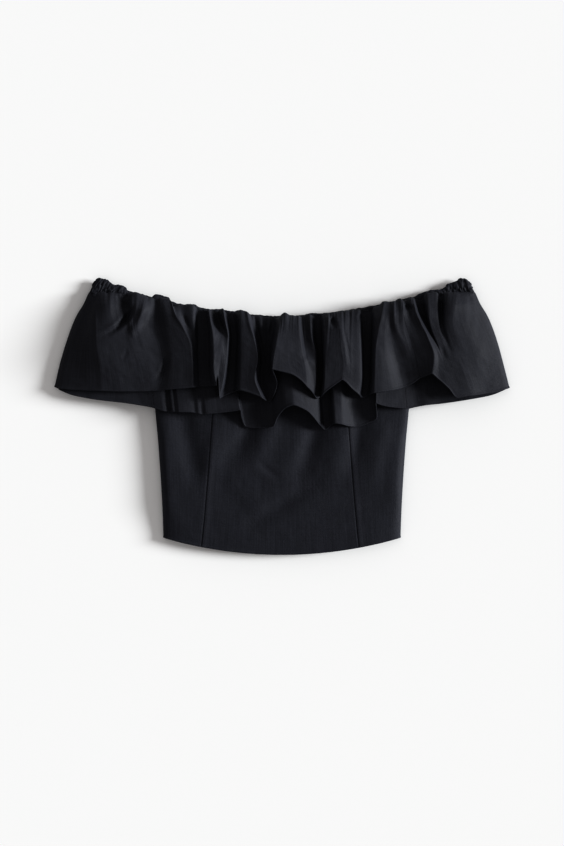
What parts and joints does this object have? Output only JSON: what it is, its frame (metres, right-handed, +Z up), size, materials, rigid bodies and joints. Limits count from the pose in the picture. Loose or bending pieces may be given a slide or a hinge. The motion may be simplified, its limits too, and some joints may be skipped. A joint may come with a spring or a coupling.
{
  "type": "off-shoulder top",
  "caption": "Off-shoulder crop top with a gathered elastic neckline, tiered flounces that form the sleeves and a fitted bodice with princess seams, laid flat.",
  "frame": {"origin": "centre of the bounding box at the bottom, on the surface that the top lies on", "axes": "+X to the picture's right along the laid width, +Y from the hem towards the neckline, +Z up from the surface through the back to the front"},
  "size_m": [0.705, 0.4239, 0.0536],
  "materials": {
    "flounce_cloth": "crisp blue-black woven cloth with a soft sheen",
    "bodice_cloth": "crisp blue-black woven cloth with a soft sheen",
    "casing_cloth": "the same cloth gathered over elastic"
  },
  "bodies": {
    "root": {"upper_flounce_front": "flounce_cloth", "upper_flounce_shoulder_right": "flounce_cloth", "upper_flounce_back": "flounce_cloth", "upper_flounce_shoulder_left": "flounce_cloth", "lower_flounce_front": "flounce_cloth", "lower_flounce_shoulder_right": "flounce_cloth", "lower_flounce_back": "flounce_cloth", "lower_flounce_shoulder_left": "flounce_cloth", "bodice_front_centre": "bodice_cloth", "bodice_front_side_right": "bodice_cloth", "bodice_front_side_left": "bodice_cloth", "bodice_back": "bodice_cloth", "neck_casing": "casing_cloth"}
  },
  "joints": []
}
